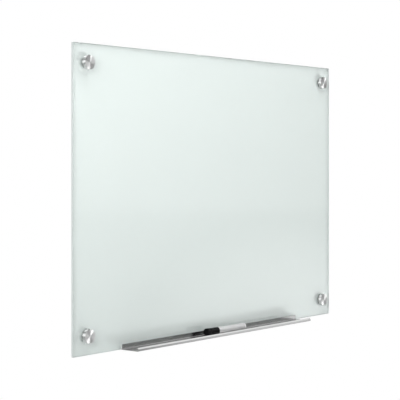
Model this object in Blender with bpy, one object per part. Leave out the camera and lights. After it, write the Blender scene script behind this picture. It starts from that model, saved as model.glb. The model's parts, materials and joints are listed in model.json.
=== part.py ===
"""A frameless magnetic glass whiteboard on four standoffs, with a pen tray and a marker.

Metres, +Z up. The origin is on the wall plane behind the middle of the board. The glass faces -Y.
"""

import math

import bmesh
import bpy
from mathutils import Matrix, Vector

# Fits: what touches is drawn with this gap, and a boolean cutter runs this far past the faces it cuts.
TOUCH_GAP = 0.0003
OVERRUN = 0.002
MERGE_DISTANCE = 0.000001

# Glass pane
BOARD_WIDTH = 0.9144
BOARD_HEIGHT = 0.6096
GLASS_THICKNESS = 0.004
GLASS_CORNER_RADIUS = 0.0025
GLASS_ARRIS = 0.0006
GLASS_HOLE_CHAMFER = 0.0004

# Backing film and steel sheet, behind the glass
FILM_THICKNESS = 0.0003
FILM_EDGE_INSET = 0.001
FILM_CORNER_RADIUS = 0.002
STEEL_THICKNESS = 0.0005
STEEL_EDGE_INSET = 0.012
STEEL_CORNER_RADIUS = 0.006
STEEL_HOLE_CLEARANCE = 0.002

# Standoffs: each stands this far in from both of the pane's edges
STANDOFF_INSET = 0.0381
BARREL_LENGTH = 0.019
BARREL_RADIUS = 0.011
BARREL_FLOOR = 0.005
BARREL_CHAMFER = 0.0008
SCREW_HOLE_RADIUS = 0.0024
COUNTERSINK_RADIUS = 0.0045
STUD_RADIUS = 0.005
STUD_CHAMFER = 0.0007
STUD_RUNNING_GAP = 0.0003
STUD_ENGAGEMENT = 0.009
SLEEVE_WALL = 0.0012
SLEEVE_RUNNING_GAP = 0.0004
REAR_GASKET_THICKNESS = 0.0015
REAR_GASKET_INSET = 0.0005
FRONT_GASKET_THICKNESS = 0.0016
FRONT_GASKET_INSET = 0.0012

# Caps
CAP_RADIUS = 0.0143
CAP_THICKNESS = 0.0078
CAP_EDGE_RADIUS = 0.0008
CAP_BACK_CHAMFER = 0.0004
CAP_SOCKET_DEPTH = 0.0043

# Pen tray, in distances from the glass's face and heights above the pane's lower edge
TRAY_LENGTH = 0.622
TRAY_CENTRE_X = -0.008
TRAY_DEPTH = 0.0469
TRAY_WALL = 0.0016
FLANGE_FACE = 0.004
FLANGE_HEIGHT = 0.01125
FLANGE_TOP_RADIUS = 0.0005
LEDGE_THICKNESS = 0.0012
LIP_HEIGHT = 0.00745
LIP_KNEE_HEIGHT = 0.0043
LIP_LEAN = 0.002
LIP_FOOT_RADIUS = 0.0014
LIP_TOP_RADIUS = 0.0006
FLOOR_FILLET = 0.001

# Magnet strips behind the tray's flange, which share its length
MAGNET_SIDES = ("left", "centre", "right")
MAGNET_SPACING = 0.0405
MAGNET_TOP_INSET = 0.00095
MAGNET_END_INSET = 0.0005
MAGNET_BEVEL = 0.0002

# Marker, lying along X on the tray's floor, with its cap at the left
MARKER_CENTRE_X = 0.0008
MARKER_OFFSET = 0.0225
MARKER_LENGTH = 0.1384
MARKER_RADIUS = 0.007
MARKER_WALL = 0.0017
MARKER_NECK_STEP = 0.0007
MARKER_NECK_LENGTH = 0.01
MARKER_CHAMFER = 0.0004
TAIL_LENGTH = 0.0065
TAIL_STEM_LENGTH = 0.006
TAIL_END_RADIUS = 0.0032
NOSE_LENGTH = 0.0075
NOSE_TIP_WALL = 0.0009
NOSE_STEM_LENGTH = 0.005
NIB_RADIUS = 0.0022
NIB_REACH = 0.008
NIB_ROOT_DEPTH = 0.008
NIB_TIP_RADIUS = 0.0012
NIB_TIP_LENGTH = 0.002

# Marker cap, from its mouth to its knob
MARKER_CAP_LENGTH = 0.0393
MARKER_CAP_FIT = 0.0004
MARKER_CAP_WALL = 0.0011
MARKER_CAP_STEP_WALL = 0.0027
MARKER_CAP_GROOVE_WALL = 0.0018
MARKER_CAP_END_WALL = 0.0028
KNOB_RADIUS = 0.0082
KNOB_LENGTH = 0.0084
GROOVE_RADIUS = 0.0066
GROOVE_WIDTH = 0.0032
MARKER_CAP_CHAMFER = 0.0007

# How finely round pieces are divided
CAP_STEPS = 40
HARDWARE_STEPS = 32
SMALL_STEPS = 24
ARC_STEPS = 3
DOME_STEPS = 5
SHARP_ANGLE = math.radians(35)

# Planes along Y, from the wall towards the viewer
WALL_Y = 0.0
BARREL_FRONT_Y = WALL_Y - BARREL_LENGTH
REAR_GASKET_Y = BARREL_FRONT_Y - TOUCH_GAP
FILM_BACK_Y = REAR_GASKET_Y - REAR_GASKET_THICKNESS - TOUCH_GAP
FILM_FRONT_Y = FILM_BACK_Y - FILM_THICKNESS
GLASS_BACK_Y = FILM_FRONT_Y - TOUCH_GAP
GLASS_FRONT_Y = GLASS_BACK_Y - GLASS_THICKNESS
STEEL_FRONT_Y = FILM_BACK_Y + TOUCH_GAP
FRONT_GASKET_Y = GLASS_FRONT_Y - TOUCH_GAP
CAP_BACK_Y = FRONT_GASKET_Y - FRONT_GASKET_THICKNESS - TOUCH_GAP

# Radii that follow from the stud outwards
SLEEVE_BORE_RADIUS = STUD_RADIUS + SLEEVE_RUNNING_GAP
SLEEVE_RADIUS = SLEEVE_BORE_RADIUS + SLEEVE_WALL
GLASS_HOLE_RADIUS = SLEEVE_RADIUS + TOUCH_GAP
STUD_BORE_RADIUS = STUD_RADIUS + STUD_RUNNING_GAP
STEEL_HOLE_RADIUS = BARREL_RADIUS + STEEL_HOLE_CLEARANCE

# Radii that follow from the marker's barrel and nib
MARKER_BORE_RADIUS = MARKER_RADIUS - MARKER_WALL
MARKER_NECK_RADIUS = MARKER_RADIUS - MARKER_NECK_STEP
MARKER_CORE_RADIUS = MARKER_BORE_RADIUS - TOUCH_GAP
NIB_BORE_RADIUS = NIB_RADIUS + TOUCH_GAP
MARKER_CAP_BORE_RADIUS = MARKER_NECK_RADIUS + MARKER_CAP_FIT
MARKER_CAP_RADIUS = MARKER_CAP_BORE_RADIUS + MARKER_CAP_WALL

BOARD_BOTTOM_Z = -BOARD_HEIGHT / 2
STUD_X = BOARD_WIDTH / 2 - STANDOFF_INSET
STUD_Z = BOARD_HEIGHT / 2 - STANDOFF_INSET
CORNERS = {
    "top_left": (-STUD_X, STUD_Z),
    "top_right": (STUD_X, STUD_Z),
    "bottom_left": (-STUD_X, -STUD_Z),
    "bottom_right": (STUD_X, -STUD_Z),
}

# Colour, roughness and metallic value of each finish
FINISHES = {
    "clear glass": ((0.80, 0.88, 0.86), 0.03, 0.0),
    "white film": ((0.86, 0.89, 0.88), 0.5, 0.0),
    "zinc plated sheet": ((0.62, 0.63, 0.64), 0.4, 1.0),
    "turned steel": ((0.72, 0.72, 0.71), 0.25, 1.0),
    "plated stud": ((0.60, 0.59, 0.56), 0.35, 1.0),
    "black rubber": ((0.02, 0.02, 0.02), 0.75, 0.0),
    "clear nylon": ((0.75, 0.76, 0.74), 0.45, 0.0),
    "satin aluminium": ((0.74, 0.75, 0.76), 0.35, 1.0),
    "white magnet": ((0.78, 0.79, 0.78), 0.6, 0.0),
    "white plastic": ((0.90, 0.90, 0.90), 0.2, 0.0),
    "black plastic": ((0.012, 0.012, 0.012), 0.3, 0.0),
    "ink felt": ((0.03, 0.03, 0.035), 0.95, 0.0),
    "fibre core": ((0.16, 0.16, 0.18), 0.95, 0.0),
}


def clear_scene():
    for thing in list(bpy.data.objects):
        bpy.data.objects.remove(thing, do_unlink=True)


def finish_material(name, finish):
    """A plain material of its own for one piece."""
    colour, roughness, metallic = FINISHES[finish]
    material = bpy.data.materials.new(name + " " + finish)
    material.use_nodes = True
    shader = material.node_tree.nodes["Principled BSDF"]
    shader.inputs["Base Color"].default_value = (*colour, 1.0)
    shader.inputs["Roughness"].default_value = roughness
    shader.inputs["Metallic"].default_value = metallic
    return material


def mesh_from(bm, name):
    """A smooth shaded mesh with crisp edges, its faces pointing out."""
    bmesh.ops.remove_doubles(bm, verts=bm.verts, dist=MERGE_DISTANCE)
    bmesh.ops.recalc_face_normals(bm, faces=bm.faces)
    mesh = bpy.data.meshes.new(name)
    bm.to_mesh(mesh)
    bm.free()
    mesh.shade_smooth()
    mesh.set_sharp_from_angle(angle=SHARP_ANGLE)
    return mesh


def place(name, mesh, finish, location=(0, 0, 0), rotation=(0, 0, 0), parent=None):
    """One piece of the board, as an object of its own."""
    piece = bpy.data.objects.new(name, mesh)
    piece.location = location
    piece.rotation_euler = rotation
    piece.parent = parent
    piece.data.materials.clear()
    piece.data.materials.append(finish_material(name, finish))
    bpy.context.collection.objects.link(piece)
    return piece


def axis_empty(name, location, rotation, parent=None):
    """An empty on the axis that a group of pieces shares."""
    empty = bpy.data.objects.new(name, None)
    empty.location = location
    empty.rotation_euler = rotation
    empty.parent = parent
    bpy.context.collection.objects.link(empty)
    return empty


def hidden_cutter(name, mesh):
    cutter = bpy.data.objects.new(name, mesh)
    cutter.hide_render = True
    cutter.display_type = "WIRE"
    bpy.context.collection.objects.link(cutter)
    return cutter


def cut(piece, cutter):
    boolean = piece.modifiers.new("Cut by " + cutter.name, "BOOLEAN")
    boolean.operation = "DIFFERENCE"
    boolean.solver = "EXACT"
    boolean.object = cutter


def arc(centre, radius, start_degrees, end_degrees, steps=ARC_STEPS):
    """Points of an arc about centre, both ends included."""
    points = []
    for step in range(steps + 1):
        angle = math.radians(start_degrees + (end_degrees - start_degrees) * step / steps)
        points.append((centre[0] + radius * math.cos(angle), centre[1] + radius * math.sin(angle)))
    return points


def spin_profile(bm, profile, steps):
    """Turns (radius, height) points about Z, closing a profile that starts and ends off the axis."""
    points = [bm.verts.new((radius, 0, height)) for radius, height in profile]
    edges = [bm.edges.new(pair) for pair in zip(points, points[1:])]
    if profile[0][0] and profile[-1][0]:
        edges.append(bm.edges.new((points[-1], points[0])))
    bmesh.ops.spin(
        bm, geom=points + edges, cent=(0, 0, 0), axis=(0, 0, 1),
        angle=2 * math.pi, steps=steps, use_merge=True,
    )


def turned(name, profile, steps):
    bm = bmesh.new()
    spin_profile(bm, profile, steps)
    return mesh_from(bm, name)


def extruded(name, outline, depth):
    """A closed (x, y) outline, extruded by depth along Z."""
    bm = bmesh.new()
    face = bm.faces.new([bm.verts.new((x, y, 0)) for x, y in outline])
    swept = bmesh.ops.extrude_face_region(bm, geom=[face])
    moved = [item for item in swept["geom"] if isinstance(item, bmesh.types.BMVert)]
    bmesh.ops.translate(bm, verts=moved, vec=(0, 0, depth))
    return mesh_from(bm, name)


def rounded_rectangle(width, height, radius):
    """An outline about the origin, with an arc at each corner."""
    outline = []
    quarters = {0: (1, 1), 90: (-1, 1), 180: (-1, -1), 270: (1, -1)}
    for start, (side_x, side_y) in quarters.items():
        centre = (side_x * (width / 2 - radius), side_y * (height / 2 - radius))
        outline += arc(centre, radius, start, start + 90)
    return outline


def ring_profile(inner_radius, outer_radius, length):
    return [(inner_radius, 0), (outer_radius, 0), (outer_radius, length), (inner_radius, length)]


def facing_out(y):
    """Where a mesh drawn in XY, with +Z towards the viewer, goes: its own Z = 0 lands on the plane y."""
    return {"location": (0, y, 0), "rotation": (math.pi / 2, 0, 0)}


def corner_cutter(name, profile, back_y):
    """The same turned cutter at all four standoffs, its heights counted from the plane back_y."""
    bm = bmesh.new()
    for x, z in CORNERS.values():
        one = bmesh.new()
        spin_profile(one, profile, HARDWARE_STEPS)
        bmesh.ops.remove_doubles(one, verts=one.verts, dist=MERGE_DISTANCE)
        bmesh.ops.recalc_face_normals(one, faces=one.faces)
        one.transform(Matrix.Translation((x, back_y, z)) @ Matrix.Rotation(math.pi / 2, 4, "X"))
        one_mesh = bpy.data.meshes.new(name)
        one.to_mesh(one_mesh)
        one.free()
        bm.from_mesh(one_mesh)
        bpy.data.meshes.remove(one_mesh)
    mesh = bpy.data.meshes.new(name)
    bm.to_mesh(mesh)
    bm.free()
    return hidden_cutter(name, mesh)


def drill_profile(radius, thickness):
    """A plain drill that runs past both faces of a sheet."""
    return [(0, -OVERRUN), (radius, -OVERRUN), (radius, thickness + OVERRUN), (0, thickness + OVERRUN)]


def glass_drill_profile():
    """A drill that also breaks the edge of the hole at both faces of the pane."""
    flare = GLASS_HOLE_RADIUS + GLASS_HOLE_CHAMFER
    return [
        (0, -OVERRUN),
        (flare + OVERRUN, -OVERRUN),
        (flare, 0),
        (GLASS_HOLE_RADIUS, GLASS_HOLE_CHAMFER),
        (GLASS_HOLE_RADIUS, GLASS_THICKNESS - GLASS_HOLE_CHAMFER),
        (flare, GLASS_THICKNESS),
        (flare + OVERRUN, GLASS_THICKNESS + OVERRUN),
        (0, GLASS_THICKNESS + OVERRUN),
    ]


def add_glass():
    outline = rounded_rectangle(BOARD_WIDTH, BOARD_HEIGHT, GLASS_CORNER_RADIUS)
    pane_mesh = extruded("glass_pane", outline, GLASS_THICKNESS)
    pane = place("glass_pane", pane_mesh, "clear glass", **facing_out(GLASS_BACK_Y))
    arris = pane.modifiers.new("Arris", "BEVEL")
    arris.width = GLASS_ARRIS
    arris.segments = 1
    arris.limit_method = "ANGLE"
    arris.angle_limit = SHARP_ANGLE
    cut(pane, corner_cutter("glass_drill", glass_drill_profile(), GLASS_BACK_Y))


def add_backing():
    """The white film that the glass is seen against, and the steel sheet behind it."""
    film_outline = rounded_rectangle(
        BOARD_WIDTH - 2 * FILM_EDGE_INSET, BOARD_HEIGHT - 2 * FILM_EDGE_INSET, FILM_CORNER_RADIUS
    )
    film_mesh = extruded("backing_film", film_outline, FILM_THICKNESS)
    film = place("backing_film", film_mesh, "white film", **facing_out(FILM_BACK_Y))
    film_drill = drill_profile(GLASS_HOLE_RADIUS, FILM_THICKNESS)
    cut(film, corner_cutter("film_drill", film_drill, FILM_BACK_Y))

    steel_outline = rounded_rectangle(
        BOARD_WIDTH - 2 * STEEL_EDGE_INSET, BOARD_HEIGHT - 2 * STEEL_EDGE_INSET, STEEL_CORNER_RADIUS
    )
    steel_back_y = STEEL_FRONT_Y + STEEL_THICKNESS
    steel_mesh = extruded("steel_sheet", steel_outline, STEEL_THICKNESS)
    steel = place("steel_sheet", steel_mesh, "zinc plated sheet", **facing_out(steel_back_y))
    steel_drill = drill_profile(STEEL_HOLE_RADIUS, STEEL_THICKNESS)
    cut(steel, corner_cutter("steel_drill", steel_drill, steel_back_y))


def cap_profile():
    """The disc, with the blind hole in its back that the stud is set in."""
    edge = (CAP_RADIUS - CAP_EDGE_RADIUS, CAP_THICKNESS - CAP_EDGE_RADIUS)
    return [
        (0, CAP_SOCKET_DEPTH),
        (STUD_BORE_RADIUS, CAP_SOCKET_DEPTH),
        (STUD_BORE_RADIUS, 0),
        (CAP_RADIUS - CAP_BACK_CHAMFER, 0),
        (CAP_RADIUS, CAP_BACK_CHAMFER),
        *arc(edge, CAP_EDGE_RADIUS, 0, 90),
        (0, CAP_THICKNESS),
    ]


def rod_profile(radius, length, chamfer):
    return [
        (0, 0),
        (radius - chamfer, 0),
        (radius, chamfer),
        (radius, length - chamfer),
        (radius - chamfer, length),
        (0, length),
    ]


def barrel_profile():
    """From the wall outwards: a floor with a countersunk screw hole, then the bore that takes the stud."""
    return [
        (SCREW_HOLE_RADIUS, 0),
        (BARREL_RADIUS, 0),
        (BARREL_RADIUS, BARREL_LENGTH - BARREL_CHAMFER),
        (BARREL_RADIUS - BARREL_CHAMFER, BARREL_LENGTH),
        (STUD_BORE_RADIUS, BARREL_LENGTH),
        (STUD_BORE_RADIUS, BARREL_FLOOR),
        (COUNTERSINK_RADIUS, BARREL_FLOOR),
        (SCREW_HOLE_RADIUS, BARREL_FLOOR - (COUNTERSINK_RADIUS - SCREW_HOLE_RADIUS)),
    ]


def box_into(bm, low, high):
    corners = bmesh.ops.create_cube(bm, size=1)["verts"]
    size = Vector(high) - Vector(low)
    middle = (Vector(high) + Vector(low)) / 2
    bmesh.ops.scale(bm, vec=size, verts=corners)
    bmesh.ops.translate(bm, vec=middle, verts=corners)


def add_standoff(corner, x, z):
    """Everything on one standoff's axis. The cap and its stud hang on an empty of their own."""
    outwards = (math.pi / 2, 0, 0)
    post = axis_empty("standoff_axis_" + corner, (x, WALL_Y, z), outwards)
    cap_axis = axis_empty("cap_axis_" + corner, (0, 0, WALL_Y - CAP_BACK_Y), (0, 0, 0), post)

    def fixed(name, profile, finish, steps, height):
        mesh = turned(name, profile, steps)
        return place(name + "_" + corner, mesh, finish, (0, 0, height), parent=post)

    fixed("standoff_barrel", barrel_profile(), "turned steel", HARDWARE_STEPS, 0)
    rear_ring = ring_profile(SLEEVE_RADIUS, BARREL_RADIUS - REAR_GASKET_INSET, REAR_GASKET_THICKNESS)
    fixed("rear_gasket", rear_ring, "black rubber", HARDWARE_STEPS, WALL_Y - REAR_GASKET_Y)
    sleeve_ring = ring_profile(SLEEVE_BORE_RADIUS, SLEEVE_RADIUS, GLASS_THICKNESS)
    fixed("hole_sleeve", sleeve_ring, "clear nylon", SMALL_STEPS, WALL_Y - GLASS_BACK_Y)
    front_radius = CAP_RADIUS - FRONT_GASKET_INSET
    front_ring = ring_profile(SLEEVE_BORE_RADIUS, front_radius, FRONT_GASKET_THICKNESS)
    fixed("front_gasket", front_ring, "black rubber", HARDWARE_STEPS, WALL_Y - FRONT_GASKET_Y)

    place("cap_" + corner, turned("cap", cap_profile(), CAP_STEPS), "turned steel", parent=cap_axis)
    stud_front = CAP_SOCKET_DEPTH - TOUCH_GAP
    stud_back = BARREL_FRONT_Y + STUD_ENGAGEMENT - CAP_BACK_Y
    stud_profile = rod_profile(STUD_RADIUS, stud_front + stud_back, STUD_CHAMFER)
    stud_mesh = turned("cap_stud", stud_profile, SMALL_STEPS)
    place("cap_stud_" + corner, stud_mesh, "plated stud", (0, 0, -stud_back), parent=cap_axis)


def tray_outline():
    """The extrusion's section: distances from the glass's face, heights above the tray's underside."""
    lip_foot = (TRAY_DEPTH - LIP_FOOT_RADIUS, LIP_FOOT_RADIUS)
    lip_top = (TRAY_DEPTH - LIP_LEAN - TRAY_WALL + LIP_TOP_RADIUS, LIP_HEIGHT - LIP_TOP_RADIUS)
    floor_front = (TRAY_DEPTH - TRAY_WALL - FLOOR_FILLET, TRAY_WALL + FLOOR_FILLET)
    floor_back = (FLANGE_FACE + FLOOR_FILLET, TRAY_WALL + FLOOR_FILLET)
    flange_back = FLANGE_FACE - TRAY_WALL
    flange_top = FLANGE_HEIGHT - FLANGE_TOP_RADIUS
    return [
        (TOUCH_GAP, 0),
        *arc(lip_foot, LIP_FOOT_RADIUS, -90, 0),
        (TRAY_DEPTH, LIP_KNEE_HEIGHT),
        (TRAY_DEPTH - LIP_LEAN, lip_top[1]),
        *arc((lip_top[0] + TRAY_WALL - 2 * LIP_TOP_RADIUS, lip_top[1]), LIP_TOP_RADIUS, 45, 90),
        *arc(lip_top, LIP_TOP_RADIUS, 90, 180),
        (TRAY_DEPTH - TRAY_WALL, LIP_KNEE_HEIGHT),
        *arc(floor_front, FLOOR_FILLET, 0, -90),
        *arc(floor_back, FLOOR_FILLET, -90, -180),
        *arc((FLANGE_FACE - FLANGE_TOP_RADIUS, flange_top), FLANGE_TOP_RADIUS, 0, 90),
        *arc((flange_back + FLANGE_TOP_RADIUS, flange_top), FLANGE_TOP_RADIUS, 90, 180),
        (flange_back, LEDGE_THICKNESS),
        (TOUCH_GAP, LEDGE_THICKNESS),
    ]


def add_tray():
    """The tray and its magnets hang on an empty at the tray's left end, on the glass's face."""
    left_x = TRAY_CENTRE_X - TRAY_LENGTH / 2
    corner = axis_empty("tray_corner", (left_x, GLASS_FRONT_Y, BOARD_BOTTOM_Z), (0, 0, 0))
    # This turns the section: its distances run towards -Y, its heights up, and its length along +X.
    section = extruded("pen_tray", tray_outline(), TRAY_LENGTH)
    section.transform(Matrix(((0, 0, 1, 0), (-1, 0, 0, 0), (0, 1, 0, 0), (0, 0, 0, 1))))
    section.flip_normals()
    place("pen_tray", section, "satin aluminium", parent=corner)

    strips = len(MAGNET_SIDES)
    length = (TRAY_LENGTH - 2 * MAGNET_END_INSET - (strips - 1) * MAGNET_SPACING) / strips
    thickness = FLANGE_FACE - TRAY_WALL - 2 * TOUCH_GAP
    bottom = LEDGE_THICKNESS + TOUCH_GAP
    height = FLANGE_HEIGHT - MAGNET_TOP_INSET - bottom
    for index, side in enumerate(MAGNET_SIDES):
        start = MAGNET_END_INSET + index * (length + MAGNET_SPACING)
        bm = bmesh.new()
        box_into(bm, (0, -thickness, 0), (length, 0, height))
        bmesh.ops.bevel(bm, geom=bm.edges[:], offset=MAGNET_BEVEL, segments=1, affect="EDGES")
        mesh = mesh_from(bm, "tray_magnet")
        place("tray_magnet_" + side, mesh, "white magnet", (start, -TOUCH_GAP, bottom), parent=corner)


def marker_barrel_profile(back):
    """Heights from the cap's mouth: the body is below it and the neck above."""
    shoulder = -TOUCH_GAP
    return [
        (MARKER_BORE_RADIUS, back),
        (MARKER_RADIUS, back),
        (MARKER_RADIUS, shoulder - MARKER_CHAMFER),
        (MARKER_RADIUS - MARKER_CHAMFER, shoulder),
        (MARKER_NECK_RADIUS, shoulder),
        (MARKER_NECK_RADIUS, MARKER_NECK_LENGTH),
        (MARKER_BORE_RADIUS, MARKER_NECK_LENGTH),
    ]


def tail_profile():
    """From the rounded end, at zero, to the stem that plugs the barrel."""
    return [
        (0, 0),
        *arc((MARKER_RADIUS - TAIL_END_RADIUS, TAIL_END_RADIUS), TAIL_END_RADIUS, -90, 0, DOME_STEPS),
        (MARKER_RADIUS, TAIL_LENGTH),
        (MARKER_CORE_RADIUS, TAIL_LENGTH),
        (MARKER_CORE_RADIUS, TAIL_LENGTH + TAIL_STEM_LENGTH),
        (0, TAIL_LENGTH + TAIL_STEM_LENGTH),
    ]


def nose_profile():
    """A stem inside the neck, a shoulder on the neck's end and a cone that holds the nib."""
    return [
        (NIB_BORE_RADIUS, -NOSE_STEM_LENGTH),
        (MARKER_CORE_RADIUS, -NOSE_STEM_LENGTH),
        (MARKER_CORE_RADIUS, TOUCH_GAP),
        (MARKER_NECK_RADIUS, TOUCH_GAP),
        (MARKER_NECK_RADIUS, TOUCH_GAP + MARKER_CHAMFER),
        (NIB_BORE_RADIUS + NOSE_TIP_WALL, NOSE_LENGTH),
        (NIB_BORE_RADIUS, NOSE_LENGTH),
    ]


def nib_profile():
    """From the root in the barrel to the bullet tip."""
    tip = NIB_ROOT_DEPTH + NOSE_LENGTH + NIB_REACH
    return [
        (0, 0),
        (NIB_RADIUS, 0),
        (NIB_RADIUS, tip - NIB_TIP_LENGTH),
        *arc((NIB_RADIUS - NIB_TIP_RADIUS, tip - NIB_TIP_RADIUS), NIB_TIP_RADIUS, 0, 90),
        (0, tip),
    ]


def marker_cap_profile():
    """From the bore's end, out through the mouth and up the outside to the knob."""
    body_end = MARKER_CAP_LENGTH - KNOB_LENGTH - GROOVE_WIDTH
    knob_start = MARKER_CAP_LENGTH - KNOB_LENGTH
    bore_end = MARKER_CAP_LENGTH - MARKER_CAP_END_WALL
    bore_step = body_end - MARKER_CAP_STEP_WALL
    tip_bore = GROOVE_RADIUS - MARKER_CAP_GROOVE_WALL
    return [
        (0, bore_end),
        (tip_bore, bore_end),
        (tip_bore, bore_step),
        (MARKER_CAP_BORE_RADIUS, bore_step),
        (MARKER_CAP_BORE_RADIUS, 0),
        (MARKER_CAP_RADIUS, 0),
        (MARKER_CAP_RADIUS, body_end - MARKER_CAP_CHAMFER),
        (MARKER_CAP_RADIUS - MARKER_CAP_CHAMFER, body_end),
        (GROOVE_RADIUS, body_end),
        (GROOVE_RADIUS, knob_start),
        (KNOB_RADIUS - MARKER_CAP_CHAMFER, knob_start),
        (KNOB_RADIUS, knob_start + MARKER_CAP_CHAMFER),
        (KNOB_RADIUS, MARKER_CAP_LENGTH - MARKER_CAP_CHAMFER),
        (KNOB_RADIUS - MARKER_CAP_CHAMFER, MARKER_CAP_LENGTH),
        (0, MARKER_CAP_LENGTH),
    ]


def add_marker():
    """The marker hangs on an empty at its cap's mouth, whose Z runs towards the nib."""
    mouth_x = MARKER_CENTRE_X - MARKER_LENGTH / 2 + MARKER_CAP_LENGTH
    axis_z = BOARD_BOTTOM_Z + TRAY_WALL + TOUCH_GAP + KNOB_RADIUS
    mouth_point = (mouth_x, GLASS_FRONT_Y - MARKER_OFFSET, axis_z)
    mouth = axis_empty("marker_axis", mouth_point, (0, -math.pi / 2, 0))
    tail_end = MARKER_CAP_LENGTH - MARKER_LENGTH
    barrel_back = tail_end + TAIL_LENGTH + TOUCH_GAP
    nib_root = MARKER_NECK_LENGTH - NIB_ROOT_DEPTH
    core_back = tail_end + TAIL_LENGTH + TAIL_STEM_LENGTH + TOUCH_GAP
    core_length = nib_root - TOUCH_GAP - core_back

    def along(name, profile, finish, height, steps=HARDWARE_STEPS):
        return place(name, turned(name, profile, steps), finish, (0, 0, height), parent=mouth)

    along("marker_barrel", marker_barrel_profile(barrel_back), "white plastic", 0)
    along("marker_tail_plug", tail_profile(), "white plastic", tail_end)
    along("marker_nose", nose_profile(), "black plastic", MARKER_NECK_LENGTH)
    along("marker_nib", nib_profile(), "ink felt", nib_root, SMALL_STEPS)
    core = rod_profile(MARKER_CORE_RADIUS, core_length, MARKER_CHAMFER)
    along("marker_reservoir", core, "fibre core", core_back, SMALL_STEPS)
    along("marker_cap", marker_cap_profile(), "black plastic", 0)


def main():
    clear_scene()
    add_glass()
    add_backing()
    for corner, (x, z) in CORNERS.items():
        add_standoff(corner, x, z)
    add_tray()
    add_marker()


main()
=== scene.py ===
"""A magnetic glass whiteboard with turned standoffs, a drawn aluminium pen tray and a capped marker.

Run as a script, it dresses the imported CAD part: each operator makes one piece or a group of like pieces.
"""

import json
import math

import bmesh
import bpy
from bpy.props import FloatProperty, FloatVectorProperty, IntProperty, PointerProperty
from mathutils import Matrix, Vector

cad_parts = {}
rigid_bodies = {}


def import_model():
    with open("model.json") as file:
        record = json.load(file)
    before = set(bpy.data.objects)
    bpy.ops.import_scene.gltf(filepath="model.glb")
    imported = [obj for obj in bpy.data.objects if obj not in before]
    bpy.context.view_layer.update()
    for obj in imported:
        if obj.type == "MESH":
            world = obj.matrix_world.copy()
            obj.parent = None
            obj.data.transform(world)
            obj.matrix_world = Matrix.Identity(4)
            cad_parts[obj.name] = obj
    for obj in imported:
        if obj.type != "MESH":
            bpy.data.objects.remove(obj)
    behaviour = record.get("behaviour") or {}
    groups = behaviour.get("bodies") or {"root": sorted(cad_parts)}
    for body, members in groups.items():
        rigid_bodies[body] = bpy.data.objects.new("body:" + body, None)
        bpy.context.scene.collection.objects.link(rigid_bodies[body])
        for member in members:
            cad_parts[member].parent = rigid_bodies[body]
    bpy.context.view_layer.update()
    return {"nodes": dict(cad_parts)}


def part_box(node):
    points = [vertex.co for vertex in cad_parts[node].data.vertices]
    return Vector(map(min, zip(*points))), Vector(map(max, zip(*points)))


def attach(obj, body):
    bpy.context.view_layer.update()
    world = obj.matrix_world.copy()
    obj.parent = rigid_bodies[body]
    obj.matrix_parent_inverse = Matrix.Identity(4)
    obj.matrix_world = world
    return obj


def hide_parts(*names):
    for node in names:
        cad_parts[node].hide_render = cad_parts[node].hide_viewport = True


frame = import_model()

bl_info = {
    "name": "Glass whiteboard",
    "version": (1, 0, 0),
    "blender": (4, 5, 0),
    "location": "3D View > Sidebar > Whiteboard",
    "description": "Makes the pieces and finishes of a magnetic glass whiteboard",
    "category": "Object",
}

CORNERS = ("top_left", "top_right", "bottom_left", "bottom_right")

# Places and sizes read from the frame


def middle(node):
    low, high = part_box(node)
    return (low + high) / 2


def half_width(node):
    low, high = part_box(node)
    return (high.x - low.x) / 2


PANE_LOW, PANE_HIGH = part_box("glass_pane")
TRAY_LOW, TRAY_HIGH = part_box("pen_tray")
AXES = {corner: (middle("cap_" + corner).x, middle("cap_" + corner).z) for corner in CORNERS}
CAP_BACK_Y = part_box("cap_top_left")[1].y
CAP_FACE_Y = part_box("cap_top_left")[0].y
CAP_RADIUS = half_width("cap_top_left")
CAP_DEPTH = CAP_BACK_Y - CAP_FACE_Y
STUD_LOW, STUD_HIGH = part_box("cap_stud_top_left")
STUD_RADIUS = half_width("cap_stud_top_left")
BARREL_LENGTH = -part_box("standoff_barrel_top_left")[0].y
BARREL_RADIUS = half_width("standoff_barrel_top_left")
MARKER_CAP_MOUTH_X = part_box("marker_cap")[1].x
MARKER_MIDDLE = middle("marker_barrel")
MARKER_RADIUS = (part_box("marker_barrel")[1].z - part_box("marker_barrel")[0].z) / 2

# Details that a box doesn't give, in metres
TOUCH_GAP = 0.0003
SUPPORT = 0.00012
OVERRUN = 0.002
MERGE_DISTANCE = 0.000001
AXIS_TOLERANCE = 1e-9

# Edge radii that pieces share
FINE_EDGE = 0.0001
SEAM_EDGE = 0.00015
CRISP_EDGE = 0.0002
EASED_EDGE = 0.0003
SOFT_EDGE = 0.0004
FULL_EDGE = 0.0005
WIDE_EDGE = 0.0006
ROUND_EDGE = 0.0009

# Pane and standoffs
ARRIS = 0.0006
PANE_CORNER_RADIUS = 0.0025
HOLE_RADIUS = 0.0069
HOLE_CHAMFER = 0.0004
SLEEVE_BORE_RADIUS = 0.0054
SLEEVE_RADIUS = 0.0066
CAP_SOCKET_RADIUS = 0.0053
CAP_SOCKET_DEPTH = 0.0043
BARREL_FLOOR = 0.005
SCREW_HOLE_RADIUS = 0.0024
COUNTERSINK_RADIUS = 0.0045
# Of the pitch, at the foot and the crest of the studs' thread
THREAD_FOOT_SHARE = 0.92
THREAD_CREST_SHARE = 0.16

# Tray
TRAY_WALL = 0.0016
TRAY_END_BEVEL = 0.00012
TRAY_FOOT_RADIUS = 0.0014
TRAY_INNER_RADIUS = 0.001
FLANGE_FACE = 0.004
LEDGE_THICKNESS = 0.0012
LIP_HEIGHT = 0.00745
LIP_KNEE_HEIGHT = 0.0043
LIP_KNEE_RADIUS = 0.0012
LIP_TOP_RADIUS = 0.00055
LIP_LEAN = 0.002

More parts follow.
